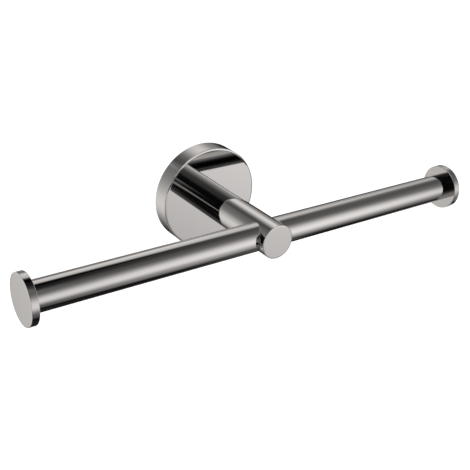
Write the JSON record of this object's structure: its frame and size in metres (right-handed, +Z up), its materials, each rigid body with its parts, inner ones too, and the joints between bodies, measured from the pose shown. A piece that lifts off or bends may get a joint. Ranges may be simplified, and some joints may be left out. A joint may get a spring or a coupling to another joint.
{
  "type": "double toilet roll holder",
  "caption": "Wall-mounted toilet roll holder in mirror chrome: a round rosette carries a straight post with a roll arm to each side, and flat discs close the arms' ends.",
  "frame": {"origin": "centre of the wall plate's back face, in the wall plane", "axes": "+Y into the wall, so the post stands out along -Y; +X along the roll arms to the right as seen by someone facing the wall; +Z up"},
  "size_m": [0.272, 0.0778, 0.06],
  "materials": {
    "wall_plate": "zinc plated, satin",
    "rosette": "mirror",
    "set_screw": "satin",
    "post": "mirror",
    "post_bolt": "satin",
    "post_bolt_washer": "satin",
    "locating_pin": "satin",
    "left_arm": "mirror",
    "left_end_disc": "mirror",
    "left_inner_plug": "machined",
    "left_outer_plug": "machined",
    "left_arm_bolt": "satin",
    "left_arm_washer": "satin",
    "left_end_stud": "satin",
    "right_arm": "mirror",
    "right_end_disc": "mirror",
    "right_inner_plug": "machined",
    "right_outer_plug": "machined",
    "right_arm_bolt": "satin",
    "right_arm_washer": "satin",
    "right_end_stud": "satin"
  },
  "bodies": {
    "wall_bracket": {"wall_plate": "wall_plate"},
    "holder": {"rosette": "rosette", "post": "post", "post_bolt": "post_bolt", "post_bolt_washer": "post_bolt_washer", "locating_pin": "locating_pin", "left_arm": "left_arm", "left_end_disc": "left_end_disc", "left_inner_plug": "left_inner_plug", "left_outer_plug": "left_outer_plug", "left_arm_bolt": "left_arm_bolt", "left_arm_washer": "left_arm_washer", "left_end_stud": "left_end_stud", "right_arm": "right_arm", "right_end_disc": "right_end_disc", "right_inner_plug": "right_inner_plug", "right_outer_plug": "right_outer_plug", "right_arm_bolt": "right_arm_bolt", "right_arm_washer": "right_arm_washer", "right_end_stud": "right_end_stud"},
    "clamp_screw": {"set_screw": "set_screw"}
  },
  "joints": [
    {"name": "holder_lift_off", "type": "slide", "parent": "wall_bracket", "child": "holder", "axis": [0, -1, 0], "range_m": [0, 0.012]},
    {"name": "set_screw_travel", "type": "slide", "parent": "holder", "child": "clamp_screw", "axis": [0, 0, -1], "range_m": [0, 0.003]}
  ]
}
